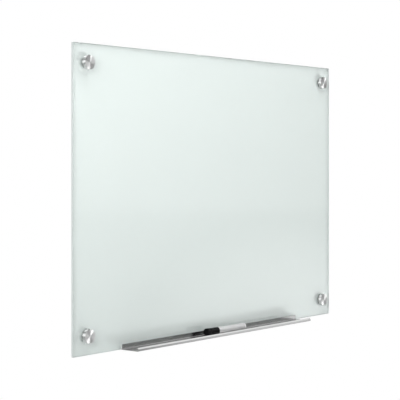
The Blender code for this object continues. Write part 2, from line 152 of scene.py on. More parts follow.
# Marker
NECK_RADIUS = 0.0063
MARKER_BORE_RADIUS = 0.0053
TAIL_RADIUS = 0.0034
NOSE_COLLAR = 0.0006
NOSE_TIP_RADIUS = 0.0034
NIB_RADIUS = 0.0022
NIB_POINT_RADIUS = 0.0013
NIB_POINT_LENGTH = 0.0012
CAP_BORE_RADIUS = 0.0067
CAP_BORE_END_WALL = 0.0027
MARKER_CAP_WALL = 0.0011
KNOB_LENGTH = 0.0084
KNOB_RADIUS = 0.0082
KNOB_BORE_RADIUS = 0.0048
KNOB_END_WALL = 0.0028
# What the ribs' ends leave free of the knob, and the share of a rib's radius that is sunk in it
RIB_END_GAP = 0.0026
RIB_SUNK_SHARE = 0.75
GROOVE_WIDTH = 0.0032
GROOVE_RADIUS = 0.0066

# Steps round a turned piece and round a soft corner
CAP_STEPS = 128
TURNED_STEPS = 96
SMALL_STEPS = 64
THREAD_STEPS = 48
RIB_SIDES = 10
BEVEL_STEPS = 2
PANE_CORNER_STEPS = 8
SOFT_STEPS = 4
FINE_SOFT_STEPS = 5
CAP_SOFT_STEPS = 6

SHARP_ANGLE = math.radians(32)
# Less than the first turn of a bevel in two steps, so that long flats keep their own normals up to it
FLATS_SHARP_ANGLE = math.radians(20)
PANE_BEVEL_ANGLE = math.radians(50)
TRAY_BEVEL_ANGLE = math.radians(60)
# A face's normal has to reach this far across the glass, or away from a cap's axis, to be a flat or a side
FLAT_NORMAL = 0.98
SIDE_NORMAL = 0.8

# UV units in a metre: along a turned profile, and along the tray and across its section, where heights
# count for less than depths
TURNED_UV_SCALE = 20
TRAY_UV_SCALE = (4, 40)
UPRIGHT_UV_SHARE = 0.7
# A quarter turn: a highlight is drawn out across the tool lines, which follow the UV map's first direction
ACROSS_THE_LINES = 0.25

# Shared effects: the share of broad blotches among specks and of fine lines among wide ones, how much wear
# darkens, how wide lines and smears are stretched, and the noise between which a surface is smeared
BLOTCH_SHARE = 0.65
WEAR_DARKENING = 1.6
FINE_LINE_SHARE = 0.6
WIDE_LINE_STRETCH = (0.13, 0.4, 1.0)
SMEAR_STRETCH = (0.45, 1.0, 1.3)
SMEAR_LIMITS = (0.5, 0.72)

# Stage: the camera's place, direction and lens at the photograph's view, and the floor
CAMERA_PLACE = (-2.233, -1.7377, 0.0749)
CAMERA_WAY = (0.7853, 0.6191, 0.0)
CAMERA_LENS = 114.7
CAMERA_SENSOR = 36
CAMERA_SHIFT = -0.0979
FLOOR_Z = -1.3
FLOOR_RADIUS = 2.2
FLOOR_STEPS = 128
FLOOR_LIGHT = 0.5
# The room's brightness above and below the ground's top, as the height of a direction
ROOM_LIGHT = 0.12
GROUND_LIGHT = 0.32
GROUND_TOP = -0.04
GROUND_BLUR = 0.12
# Soft patches of light in the room: direction, inner and outer half angles in degrees, strength
ROOM_PANELS = (
    ((0.945, -0.22, 0.25), 3, 9, 8.5),
    ((0.59, -0.71, -0.40), 4, 11, 9.5),
    ((0.38, -0.66, -0.65), 8, 20, 1.2),
    ((0.785, -0.36, 0.50), 6, 15, 1.1),
    ((0.82, -0.555, -0.175), 2, 8, 0.75),
    ((0.1, -0.99, 0.04), 8, 30, 1.1),
)
# A faint wall that the glass mirrors above its middle: its direction, the cosines of its outer and inner
# half angles, and the heights between which its lower edge fades
MIRROR_WAY = (0.785, -0.619, 0.0)
MIRROR_LIMITS = (0.9, 0.985)
MIRROR_EDGE = (-0.044, -0.036)
MIRROR_LIGHT = 0.2
# Lamps: name, place, width and height, power
SOFT_BOXES = (
    ("overhead lamp", (-0.3, -0.7, 1.7), (1.8, 0.8), 11.0),
    ("left lamp", (-2.6, -0.9, 0.7), (1.4, 1.4), 31.0),
    ("back lamp", (0.8, 3.0, 1.6), (2.4, 1.6), 40.0),
)

LENGTH = {"subtype": "DISTANCE", "unit": "LENGTH"}
COLOUR = {"size": 3, "min": 0, "max": 1, "subtype": "COLOR"}


class WhiteboardSizes(bpy.types.PropertyGroup):
    """Sizes of the fine detail that a user may change."""

    thread_pitch: FloatProperty(
        name="Thread pitch", description="Travel of a cap in one turn", default=0.0015,
        min=0.0008, max=0.003, precision=4, **LENGTH,
    )
    thread_depth: FloatProperty(
        name="Thread depth", description="Height of the stud's thread above its core", default=0.0007,
        min=0.0002, max=0.0012, precision=4, **LENGTH,
    )
    ring_spacing: FloatProperty(
        name="Ring spacing", description="Distance between the tool marks on turned metal", default=0.00022,
        min=0.00005, max=0.001, precision=5, **LENGTH,
    )
    grain_width: FloatProperty(
        name="Grain width", description="Width of the drawn lines along the tray", default=0.00035,
        min=0.00005, max=0.002, precision=5, **LENGTH,
    )
    rib_count: IntProperty(
        name="Knob ribs", description="Number of ribs round the marker cap's knob", default=30,
        min=8, max=60,
    )
    rib_radius: FloatProperty(
        name="Rib radius", description="Radius of each rib on the knob", default=0.00035,
        min=0.0001, max=0.001, precision=5, **LENGTH,
    )


class WhiteboardColours(bpy.types.PropertyGroup):
    """Colours that a user may change."""

    film: FloatVectorProperty(
        name="Film", description="Colour of the film behind the glass", default=(0.795, 0.845, 0.828),
        **COLOUR,
    )
    glass_edge: FloatVectorProperty(
        name="Glass edge", description="Tint of the pane's ground edges", default=(0.92, 0.98, 0.965),
        **COLOUR,
    )
    turned_steel: FloatVectorProperty(
        name="Turned steel", description="Colour of the caps and barrels", default=(0.80, 0.805, 0.803),
        **COLOUR,
    )
    tray: FloatVectorProperty(
        name="Tray", description="Colour of the tray's satin aluminium", default=(0.645, 0.65, 0.647),
        **COLOUR,
    )
    marker_body: FloatVectorProperty(
        name="Marker body", description="Colour of the marker's barrel", default=(0.93, 0.93, 0.93),
        **COLOUR,
    )
    ink: FloatVectorProperty(
        name="Ink", description="Colour of the marker's cap", default=(0.004, 0.004, 0.0045),
        **COLOUR,
    )


def sizes():
    return bpy.context.scene.whiteboard_sizes


def colours():
    return bpy.context.scene.whiteboard_colours


# Node tree helpers


class Tree:
    """Adds and joins nodes in a tree."""

    def __init__(self, tree):
        self.tree = tree
        self.nodes = tree.nodes

    def feed(self, socket, value):
        """Gives an input a value, or the socket that feeds it."""
        if isinstance(value, bpy.types.NodeSocket):
            self.tree.links.new(value, socket)
        else:
            socket.default_value = value

    def feed_all(self, node, **inputs):
        """Feeds a node's inputs by name, with an underscore for each space."""
        for key, value in inputs.items():
            self.feed(node.inputs[key.replace("_", " ")], value)

    def add(self, kind, settings=None, **inputs):
        """A node with its settings and its inputs."""
        node = self.nodes.new(kind)
        for key, value in (settings or {}).items():
            setattr(node, key, value)
        self.feed_all(node, **inputs)
        return node

    def add_in_order(self, kind, settings, *values):
        """A node with its settings, whose first inputs take the values in order."""
        node = self.add(kind, settings)
        for socket, value in zip(node.inputs, values):
            self.feed(socket, value)
        return node

    def maths(self, operation, first, second=0.0, third=0.0, clamp=False):
        settings = {"operation": operation, "use_clamp": clamp}
        return self.add_in_order("ShaderNodeMath", settings, first, second, third).outputs[0]

    def times(self, first, second, clamp=False):
        return self.maths("MULTIPLY", first, second, clamp=clamp)

    def vector_maths(self, operation, first, second=(0, 0, 0)):
        node = self.add_in_order("ShaderNodeVectorMath", {"operation": operation}, first, second)
        return node.outputs["Value" if operation in ("LENGTH", "DOT_PRODUCT") else "Vector"]

    def spread(self, value, low, high, to_low, to_high, smooth=False):
        """value, from the range low to high, as a share between to_low and to_high."""
        return self.add(
            "ShaderNodeMapRange", {"interpolation_type": "SMOOTHSTEP" if smooth else "LINEAR"},
            Value=value, From_Min=low, From_Max=high, To_Min=to_low, To_Max=to_high,
        ).outputs["Result"]

    def blend(self, first, second, share):
        """This share of the first value, and the rest of the second."""
        return self.maths("ADD", self.times(first, share), self.times(second, 1 - share))

    def mix_colour(self, factor, first, second, blend="MIX"):
        node = self.add("ShaderNodeMix", {"data_type": "RGBA", "blend_type": blend})
        for index, value in ((0, factor), (6, first), (7, second)):
            self.feed(node.inputs[index], value)
        return node.outputs[2]

    def mix_shaders(self, factor, first, second):
        return self.add_in_order("ShaderNodeMixShader", {}, factor, first, second).outputs[0]

    def grey(self, value):
        return self.add("ShaderNodeCombineColor", Red=value, Green=value, Blue=value).outputs[0]

    def noise(self, vector, scale, detail=2.0, roughness=0.5):
        return self.add(
            "ShaderNodeTexNoise", Vector=vector, Scale=scale, Detail=detail, Roughness=roughness
        ).outputs["Fac"]

    def apart(self, vector):
        return self.add("ShaderNodeSeparateXYZ", Vector=vector).outputs

    def raised(self, geometry, height):
        way = self.add("ShaderNodeCombineXYZ", Z=height).outputs[0]
        return self.add("GeometryNodeTransform", Geometry=geometry, Translation=way).outputs[0]

    def join(self, *parts):
        node = self.add("GeometryNodeJoinGeometry")
        for part in parts:
            self.feed(node.inputs[0], part)
        return node.outputs[0]


def new_group(name, kind, inputs, outputs):
    """A node group whose sockets are rows of name, kind and, for an input, a default."""
    group = bpy.data.node_groups.new(name, kind)
    for side, rows in (("INPUT", inputs), ("OUTPUT", outputs)):
        for title, socket_kind, *default in rows:
            socket = group.interface.new_socket(title, in_out=side, socket_type="NodeSocket" + socket_kind)
            if default:
                socket.default_value = default[0]
    start = group.nodes.new("NodeGroupInput")
    end = group.nodes.new("NodeGroupOutput")
    return group, Tree(group), start.outputs, end


# Effects shared by the materials


def make_wear_group():
    """Soft blotches and fine specks, as colour, roughness and height that vary over a surface."""
    group, tree, start, end = new_group("Handling wear", "ShaderNodeTree", [
        ("Vector", "Vector"), ("Colour", "Color", (0.8, 0.8, 0.8, 1.0)), ("Roughness", "Float", 0.4),
        ("Blotch Scale", "Float", 12.0), ("Speck Scale", "Float", 900.0), ("Amount", "Float", 0.1),
    ], [("Colour", "Color"), ("Roughness", "Float"), ("Height", "Float")])
    blotch = tree.noise(start["Vector"], start["Blotch Scale"], 4.0, 0.55)
    speck = tree.noise(start["Vector"], start["Speck Scale"])
    around = tree.maths("SUBTRACT", tree.blend(blotch, speck, BLOTCH_SHARE), 0.5)
    dark = tree.maths("MULTIPLY_ADD", tree.times(around, start["Amount"]), WEAR_DARKENING, 1.0)
    rougher = tree.maths("MULTIPLY_ADD", around, start["Amount"], start["Roughness"])
    tree.feed_all(
        end, Colour=tree.mix_colour(1.0, start["Colour"], tree.grey(dark), "MULTIPLY"),
        Roughness=tree.maths("MAXIMUM", rougher, 0.0), Height=speck,
    )
    return group


def make_lines_group():
    """Fine uneven lines across a distance, as tool marks round a turned face or along a drawn section."""
    group, tree, start, end = new_group("Tool lines", "ShaderNodeTree", [
        ("Across", "Float"), ("Along", "Float"), ("Spacing", "Float", 0.0003), ("Run", "Float", 0.05),
        ("Roughness", "Float", 0.3), ("Variation", "Float", 0.08),
    ], [("Shade", "Color"), ("Roughness", "Float"), ("Height", "Float")])
    across = tree.maths("DIVIDE", start["Across"], start["Spacing"])
    along = tree.maths("DIVIDE", start["Along"], start["Run"])
    place = tree.add("ShaderNodeCombineXYZ", X=across, Y=along).outputs[0]
    fine = tree.noise(place, 1.0, 3.0, 0.6)
    wide = tree.noise(tree.vector_maths("MULTIPLY", place, WIDE_LINE_STRETCH), 1.0)
    lines = tree.blend(fine, wide, FINE_LINE_SHARE)
    around = tree.maths("SUBTRACT", lines, 0.5)
    tree.feed_all(
        end, Shade=tree.grey(tree.maths("MULTIPLY_ADD", around, start["Variation"], 1.0)),
        Roughness=tree.maths("MULTIPLY_ADD", around, start["Variation"], start["Roughness"]), Height=lines,
    )
    return group


def make_smudge_group():
    """Wiped smears and faint finger marks that dull a polished surface here and there."""
    group, tree, start, end = new_group("Wiped smears", "ShaderNodeTree", [
        ("Vector", "Vector"), ("Scale", "Float", 6.0), ("Clean Roughness", "Float", 0.01),
        ("Smeared Roughness", "Float", 0.05),
    ], [("Roughness", "Float")])
    stretched = tree.vector_maths("MULTIPLY", start["Vector"], SMEAR_STRETCH)
    smears = tree.noise(stretched, start["Scale"], 5.0, 0.6)
    mask = tree.spread(smears, *SMEAR_LIMITS, 0.0, 1.0, smooth=True)
    rough = tree.spread(mask, 0.0, 1.0, start["Clean Roughness"], start["Smeared Roughness"])
    tree.feed_all(end, Roughness=rough)
    return group


GROUPS = {}


def group_node(tree, name, **inputs):
    return tree.add("ShaderNodeGroup", {"node_tree": GROUPS[name]}, **inputs).outputs


def worn(tree, place, colour, roughness, blotch_scale, speck_scale, amount):
    return group_node(
        tree, "Handling wear", Vector=place, Colour=rgba(colour), Roughness=roughness,
        Blotch_Scale=blotch_scale, Speck_Scale=speck_scale, Amount=amount,
    )


def lined(tree, across, along, spacing, run, roughness, variation):
    return group_node(
        tree, "Tool lines", Across=across, Along=along, Spacing=spacing, Run=run, Roughness=roughness,
        Variation=variation,
    )


def rgba(colour):
    return (*colour, 1.0)


# Materials


def new_material(name):
    """A material with only its shader, its tree's helper and that shader."""
    material = bpy.data.materials.new(name)
    material.use_nodes = True
    return material, Tree(material.node_tree), material.node_tree.nodes["Principled BSDF"]


def object_place(tree):
    return tree.add("ShaderNodeTexCoord").outputs["Object"]


def turned_place(tree):
    """A point's place in the piece's own turned frame, where Z is its axis."""
    return tree.add("ShaderNodeAttribute", {"attribute_name": "turned_place"}).outputs["Vector"]


def dress_shader(tree, shader, colour, roughness, height, bump, bump_depth, **others):
    """Feeds a shader's colour, roughness and other inputs, and bumps it by a height."""
    normal = tree.add("ShaderNodeBump", Strength=bump, Distance=bump_depth, Height=height).outputs[0]
    tree.feed_all(shader, Base_Color=colour, Roughness=roughness, Normal=normal, **others)


def dress_worn(tree, shader, wear, bump, bump_depth, **others):
    dress_shader(
        tree, shader, wear["Colour"], wear["Roughness"], wear["Height"], bump, bump_depth, **others
    )


def dress_lined_metal(tree, shader, wear, lines, bump, bump_depth, anisotropy, uv_map):
    """Bare metal, whose highlights are drawn out across its tool lines."""
    dress_shader(
        tree, shader, tree.mix_colour(1.0, wear["Colour"], lines["Shade"], "MULTIPLY"), lines["Roughness"],
        lines["Height"], bump, bump_depth, Metallic=1.0, Anisotropic=anisotropy,
        Anisotropic_Rotation=ACROSS_THE_LINES,
        Tangent=tree.add("ShaderNodeTangent", {"direction_type": "UV_MAP", "uv_map": uv_map}).outputs[0],
    )


def make_glass(name, tint, clean, smeared):
    """Clear glass. Shadow rays pass it, so that the film behind is lit as it is through real glass."""
    material, tree, shader = new_material(name)
    smear = group_node(
        tree, "Wiped smears", Vector=object_place(tree), Clean_Roughness=clean, Smeared_Roughness=smeared
    )
    tree.feed_all(
        shader, Base_Color=rgba(tint), Roughness=smear["Roughness"], Transmission_Weight=1.0, IOR=1.5
    )
    is_shadow = tree.add("ShaderNodeLightPath").outputs["Is Shadow Ray"]
    clear = tree.add("ShaderNodeBsdfTransparent", Color=rgba(tint)).outputs[0]
    mixed = tree.mix_shaders(is_shadow, shader.outputs[0], clear)
    tree.feed(tree.nodes["Material Output"].inputs["Surface"], mixed)
    return material


def make_film():
    material, tree, shader = new_material("white film")
    wear = worn(
        tree, object_place(tree), colours().film, roughness=0.45, blotch_scale=3.0, speck_scale=1400.0,
        amount=0.02,
    )
    dress_worn(tree, shader, wear, bump=0.05, bump_depth=0.0001)
    return material


def make_zinc_sheet():
    """Rolled, zinc plated sheet: faint crystals, rolling lines and handling marks."""
    material, tree, shader = new_material("zinc plated sheet")
    place = object_place(tree)
    crystals = tree.add("ShaderNodeTexVoronoi", {"feature": "F1"}, Vector=place, Scale=140.0)
    wear = worn(
        tree, place, (0.60, 0.61, 0.62), roughness=0.42, blotch_scale=9.0, speck_scale=500.0, amount=0.22
    )
    apart = tree.apart(place)
    rolled = lined(tree, apart["Z"], apart["X"], spacing=0.0008, run=0.12, roughness=0.4, variation=0.16)
    grains = tree.mix_colour(0.12, wear["Colour"], crystals.outputs["Color"], "SOFT_LIGHT")
    grey = tree.add("ShaderNodeHueSaturation", Saturation=0.15, Color=grains).outputs[0]
    colour = tree.mix_colour(1.0, grey, rolled["Shade"], "MULTIPLY")
    roughness = tree.blend(rolled["Roughness"], wear["Roughness"], 0.5)
    dress_shader(
        tree, shader, colour, roughness, rolled["Height"], bump=0.12, bump_depth=0.0002, Metallic=1.0
    )
    return material


def make_turned_metal(name, colour, spacing, roughness, variation, anisotropy, has_sides):
    """Metal with tool marks round its axis, which also step along it where the piece has sides."""
    material, tree, shader = new_material(name)
    place = turned_place(tree)
    apart = tree.apart(place)
    flat = tree.add("ShaderNodeCombineXYZ", X=apart["X"], Y=apart["Y"]).outputs[0]
    distance = tree.vector_maths("LENGTH", flat)
    if has_sides:
        distance = tree.maths("ADD", distance, apart["Z"])
    angle = tree.maths("ARCTAN2", apart["Y"], apart["X"])
    lines = lined(tree, distance, angle, spacing, run=2.4, roughness=roughness, variation=variation)
    wear = worn(tree, place, colour, roughness, blotch_scale=180.0, speck_scale=4000.0, amount=0.05)
    dress_lined_metal(
        tree, shader, wear, lines, bump=0.15, bump_depth=0.00005, anisotropy=anisotropy, uv_map="Turned"
    )
    return material


def make_plated_steel():
    material, tree, shader = new_material("plated steel")
    wear = worn(
        tree, turned_place(tree), (0.56, 0.54, 0.49), roughness=0.32, blotch_scale=260.0,
        speck_scale=5000.0, amount=0.3,
    )
    dress_worn(tree, shader, wear, bump=0.1, bump_depth=0.00005, Metallic=1.0)
    return material


def make_drawn_aluminium():
    """Satin aluminium with fine lines along the length that it was drawn in."""
    material, tree, shader = new_material("drawn aluminium")
    place = object_place(tree)
    apart = tree.apart(place)
    section = tree.maths("SUBTRACT", apart["Z"], apart["Y"])
    lines = lined(
        tree, section, apart["X"], sizes().grain_width, run=0.3, roughness=0.145, variation=0.045
    )
    wear = worn(
        tree, place, colours().tray, roughness=0.3, blotch_scale=22.0, speck_scale=1500.0, amount=0.06
    )
    dress_lined_metal(
        tree, shader, wear, lines, bump=0.1, bump_depth=0.00008, anisotropy=0.9, uv_map="Drawn"
    )
    return material


def make_moulded(name, colour, roughness, coat, scale, amount, local, grain):
    """Moulded plastic or rubber: a skin with faint unevenness, glossier where it has a coat."""
    material, tree, shader = new_material(name)
    place = turned_place(tree) if local else object_place(tree)
    wear = worn(tree, place, colour, roughness, blotch_scale=scale, speck_scale=scale * 24, amount=amount)
    gloss = {"Coat_Weight": coat, "Coat_Roughness": 0.06} if coat else {"Specular_IOR_Level": 0.12}
    dress_worn(tree, shader, wear, bump=grain, bump_depth=0.0001, **gloss)
    return material


def make_felt(name, colour, scale, local):
    """Short fibres pressed together along the marker."""
    material, tree, shader = new_material(name)
    place = turned_place(tree) if local else object_place(tree)
    fibres = tree.vector_maths("MULTIPLY", place, (1.0, 1.0, 0.12) if local else (0.12, 1.0, 1.0))
    strands = tree.noise(fibres, scale, 4.0, 0.7)
    dark, light = (rgba([part * share for part in colour]) for share in (0.5, 1.9))
    colour = tree.mix_colour(strands, dark, light)
    roughness = tree.spread(strands, 0.3, 0.7, 0.8, 1.0)
    dress_shader(
        tree, shader, colour, roughness, strands, bump=0.6, bump_depth=0.0002, Sheen_Weight=0.3
    )
    return material


MATERIALS = {}


def make_materials():
    GROUPS.update({
        "Handling wear": make_wear_group(),
        "Tool lines": make_lines_group(),
        "Wiped smears": make_smudge_group(),
    })
    MATERIALS.update({
        "glass": make_glass("clear glass", (0.985, 0.995, 0.992), 0.008, 0.03),
        "film": make_film(),
        "steel_sheet": make_zinc_sheet(),
        "stud_steel": make_plated_steel(),
        "tray_aluminium": make_drawn_aluminium(),
        "marker_felt": make_felt("ink soaked felt", (0.028, 0.028, 0.032), 3200.0, True),
        "marker_core": make_felt("fibre core", (0.16, 0.16, 0.18), 2600.0, False),
    })
    # Slot, name, roughness, variation, anisotropy, whether the piece has sides
    for slot, name, *values in (
        ("cap_steel", "turned cap steel", 0.35, 0.08, 1.0, False),
        ("cap_side", "satin cap side", 0.16, 0.1, 0.4, True),
        ("barrel_steel", "turned barrel steel", 0.3, 0.14, 0.5, True),
    ):
        MATERIALS[slot] = make_turned_metal(name, colours().turned_steel, sizes().ring_spacing, *values)
    # Slot, name, colour, roughness, coat, the wear's scale and amount, whether it is in the turned frame,
    # and the grain
    for slot, *values in (
        ("glass_edge", "polished glass edge", colours().glass_edge, 0.16, 0.6, 30.0, 0.03, False, 0.02),
        ("rubber", "black rubber", (0.022, 0.022, 0.022), 0.68, 0, 90.0, 0.12, True, 0.35),
        ("nylon", "natural nylon", (0.76, 0.76, 0.72), 0.42, 0, 120.0, 0.05, True, 0.1),
        ("magnet", "magnet strip skin", (0.80, 0.81, 0.80), 0.5, 0, 60.0, 0.05, False, 0.15),
        ("marker_white", "white marker plastic", colours().marker_body, 0.22, 0.5, 60.0, 0.03, True, 0.02),
        ("marker_black", "black marker plastic", colours().ink, 0.26, 0, 60.0, 0.06, True, 0.03),
        ("marker_nose", "matte nose plastic", (0.02, 0.02, 0.021), 0.5, 0, 140.0, 0.06, True, 0.1),
    ):
        MATERIALS[slot] = make_moulded(*values)


# Mesh helpers


def softened(points, radii, steps=SOFT_STEPS, closed=False):
    """A profile with each corner rounded by its own radius, and a support point beside each bend."""
    count = len(points)
    out = []
    for index, (point, radius) in enumerate(zip(points, radii)):
        here = Vector(point)
        if not radius or (not closed and index in (0, count - 1)):
            out.append(here)
            continue
        before = (Vector(points[index - 1]) - here).normalized()
        after = (Vector(points[(index + 1) % count]) - here).normalized()
        half = before.angle(after) / 2
        reach = radius / math.tan(half)
        centre = here + (before + after).normalized() * (radius / math.sin(half))
        first, last = here + before * reach - centre, here + after * reach - centre
        turn = math.atan2(first.x * last.y - first.y * last.x, first.dot(last))
        for step in range(steps + 1):
            angle = turn * step / steps
            cos, sin = math.cos(angle), math.sin(angle)
            out.append(centre + Vector((first.x * cos - first.y * sin, first.x * sin + first.y * cos)))
    pairs = list(zip(out, out[1:] + out[:1])) if closed else list(zip(out, out[1:]))
    full = []
    for first, last in pairs:
        full.append(tuple(first))
        if (last - first).length > 4 * SUPPORT:
            way = (last - first).normalized() * SUPPORT
            full += [tuple(first + way), tuple(last - way)]
    return full if closed else full + [tuple(out[-1])]


def mesh_volume(places, faces):
    total = 0
    for face in faces:
        first = Vector(places[face[0]])
        for second, third in zip(face[1:], face[2:]):
            total += first.dot(Vector(places[second]).cross(Vector(places[third])))
    return total / 6


def finish_mesh(mesh, angle=SHARP_ANGLE):
    mesh.shade_smooth()
    mesh.set_sharp_from_angle(angle=angle)
    return mesh


def keep_turned_place(mesh):
    """Keeps each point's place in the turned frame, for the materials to read after the mesh is moved."""
    attribute = mesh.attributes.new("turned_place", "FLOAT_VECTOR", "POINT")
    places = [0.0] * (3 * len(mesh.vertices))
    mesh.vertices.foreach_get("co", places)
    attribute.data.foreach_set("vector", places)


def turned_mesh(name, profile, steps=TURNED_STEPS):
    """Turns (radius, height) points about Z. A profile with both ends off the axis closes on itself."""
    ring = profile[0][0] > 0 and profile[-1][0] > 0
    places, rows = [], []
    for radius, height in profile:
        start = len(places)
        if radius <= AXIS_TOLERANCE:
            places.append((0, 0, height))
            rows.append([start] * steps)
            continue
        for step in range(steps):
            angle = 2 * math.pi * step / steps
            places.append((radius * math.cos(angle), radius * math.sin(angle), height))
        rows.append(list(range(start, start + steps)))
    along = [0.0]
    around = list(profile) + [profile[0]] if ring else list(profile)
    for first, last in zip(around, around[1:]):
        along.append(along[-1] + math.dist(first, last))
    faces, maps = [], []
    for index in range(len(around) - 1):
        low, high = rows[index], rows[(index + 1) % len(rows)]
        for step in range(steps):
            after = (step + 1) % steps
            corners = [
                (low[step], step, along[index]), (low[after], step + 1, along[index]),
                (high[after], step + 1, along[index + 1]), (high[step], step, along[index + 1]),
            ]
            if low[0] == low[-1]:
                corners = [(low[0], step + 0.5, along[index]), *corners[2:]]
            elif high[0] == high[-1]:
                corners = [*corners[:2], (high[0], step + 0.5, along[index + 1])]
            faces.append([corner[0] for corner in corners])
            maps.append([(corner[1] / steps, corner[2] * TURNED_UV_SCALE) for corner in corners])
    if mesh_volume(places, faces) < 0:
        faces = [face[::-1] for face in faces]
        maps = [face[::-1] for face in maps]
    mesh = bpy.data.meshes.new(name)
    mesh.from_pydata(places, [], faces)
    layer = mesh.uv_layers.new(name="Turned")
    flat = [value for face in maps for pair in face for value in pair]
    layer.data.foreach_set("uv", flat)
    keep_turned_place(mesh)
    return finish_mesh(mesh)


def mesh_from(bm, name):
    """The mesh that a bmesh holds, which is then freed."""
    mesh = bpy.data.meshes.new(name)
    bm.to_mesh(mesh)
    bm.free()
    return mesh


def outwards(corner, y):
    """The matrix that stands a turned mesh on a corner's axis, its height counted outwards from y."""
    x, z = AXES[corner]
    return Matrix.Translation((x, y, z)) @ Matrix.Rotation(math.pi / 2, 4, "X")


def along_marker():
    """The matrix that lays a turned mesh along the marker, its height counted from the cap's mouth."""
    mouth = (MARKER_CAP_MOUTH_X, MARKER_MIDDLE.y, MARKER_MIDDLE.z)
    return Matrix.Translation(mouth) @ Matrix.Rotation(-math.pi / 2, 4, "Y")


def add_piece(name, mesh, body, slot, node, materials=None, matrix=None):
    """Puts a finished mesh in the scene as a piece that rides on a body and stands for a CAD node."""
    if matrix is not None:
        mesh.transform(matrix)
    piece = bpy.data.objects.new(name, mesh)
    bpy.context.scene.collection.objects.link(piece)
    mesh.name = name
    mesh.materials.clear()
    for one in materials or [MATERIALS[slot]]:
        mesh.materials.append(one)
    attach(piece, body)
    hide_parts(node)
    return piece


def dress_node(node, slot):
    """Gives a CAD node whose shape is right its own finish."""
    piece = frame["nodes"][node]
    piece.data.materials.clear()
    piece.data.materials.append(MATERIALS[slot])


def made_plain(name, base, tree=None, inputs=None, modifiers=()):
    """The plain mesh that a base mesh becomes under a geometry tree with these inputs, and modifiers."""
    holder = bpy.data.objects.new(name + "_maker", base)
    bpy.context.scene.collection.objects.link(holder)
    if tree:
        modifier = holder.modifiers.new("Tree", "NODES")
        modifier.node_group = tree
        names = {item.name: item.identifier for item in tree.interface.items_tree if item.in_out == "INPUT"}
        for key, value in inputs.items():
            modifier[names[key]] = value
    for kind, settings in modifiers:
        modifier = holder.modifiers.new(kind.title(), kind)
        for key, value in settings.items():
            setattr(modifier, key, value)
    graph = bpy.context.evaluated_depsgraph_get()
    graph.update()
    mesh = bpy.data.meshes.new_from_object(holder.evaluated_get(graph))
    mesh.name = name
    bpy.data.objects.remove(holder)
    if not mesh.polygons:
        raise RuntimeError(name + " came out empty")
    return mesh


# Geometry trees


def geometry_tree(name, *inputs):
    rows = [("Geometry", "Geometry"), *inputs, ("Material", "Material")]
    return new_group(name, "GeometryNodeTree", rows, [("Geometry", "Geometry")])


def end_tree(tree, start, end, geometry):
    """Keeps the turned frame's places, makes instances real and sets the material."""
    position = tree.add("GeometryNodeInputPosition").outputs[0]
    real = tree.add("GeometryNodeRealizeInstances", Geometry=geometry).outputs[0]
    kept = tree.add(
        "GeometryNodeStoreNamedAttribute", {"data_type": "FLOAT_VECTOR", "domain": "POINT"},
        Geometry=real, Name="turned_place", Value=position,
    ).outputs[0]
    dressed = tree.add("GeometryNodeSetMaterial", Geometry=kept, Material=start["Material"]).outputs[0]
    tree.feed_all(end, Geometry=dressed)


def make_thread_tree():
    """A ridge that winds round a rod's axis and thins out at its ends."""
    group, tree, start, end = geometry_tree(
        "Helical thread", ("Core Radius", "Float", 0.004), ("Depth", "Float", 0.0007),
        ("Pitch", "Float", 0.0015), ("Start Height", "Float", 0.0), ("Turns", "Float", 8.0),
        ("Steps per Turn", "Int", 40),
    )
    coil = tree.add(
        "GeometryNodeCurveSpiral", Resolution=start["Steps per Turn"], Rotations=start["Turns"],
        Start_Radius=start["Core Radius"], End_Radius=start["Core Radius"],
        Height=tree.times(start["Pitch"], start["Turns"]),
    ).outputs[0]
    lifted = tree.raised(coil, start["Start Height"])
    upright = tree.add("GeometryNodeSetCurveNormal", {"mode": "Z_UP"}, Curve=lifted).outputs[0]
    share = tree.add("GeometryNodeSplineParameter").outputs["Factor"]
    rise = tree.times(share, start["Turns"], clamp=True)
    fall = tree.times(tree.maths("SUBTRACT", 1.0, share), start["Turns"], clamp=True)
    ridge = tree.add(
        "GeometryNodeCurvePrimitiveQuadrilateral", {"mode": "TRAPEZOID"},
        Bottom_Width=tree.times(start["Pitch"], THREAD_FOOT_SHARE),
        Top_Width=tree.times(start["Pitch"], THREAD_CREST_SHARE),
        Height=tree.times(start["Depth"], 2.0), Offset=0.0,
    ).outputs[0]
    turned = tree.add("GeometryNodeTransform", Geometry=ridge, Rotation=(0, 0, -math.pi / 2)).outputs[0]
    sweep = tree.add(
        "GeometryNodeCurveToMesh", Curve=upright, Profile_Curve=turned, Fill_Caps=True,
        Scale=tree.times(rise, fall),
    ).outputs[0]
    end_tree(tree, start, end, tree.join(start["Geometry"], sweep))
    return group


def make_rib_tree():
    """Half sunk round ribs, evenly spaced about a turned piece's axis."""
    group, tree, start, end = geometry_tree(
        "Ribs round a turned piece", ("Count", "Int", 24), ("Circle Radius", "Float", 0.008),
        ("Rib Radius", "Float", 0.0003), ("Length", "Float", 0.006), ("Middle Height", "Float", 0.0),
    )
    circle = tree.add("GeometryNodeMeshCircle", Vertices=start["Count"], Radius=start["Circle Radius"])
    lifted = tree.raised(circle.outputs[0], start["Middle Height"])
    rib = tree.add(
        "GeometryNodeMeshCylinder", Vertices=RIB_SIDES, Radius=start["Rib Radius"], Depth=start["Length"],
    )
    smooth = tree.add("GeometryNodeSetShadeSmooth", Geometry=rib.outputs["Mesh"]).outputs[0]
    copies = tree.add("GeometryNodeInstanceOnPoints", Points=lifted, Instance=smooth).outputs[0]
    end_tree(tree, start, end, tree.join(start["Geometry"], copies))
    return group


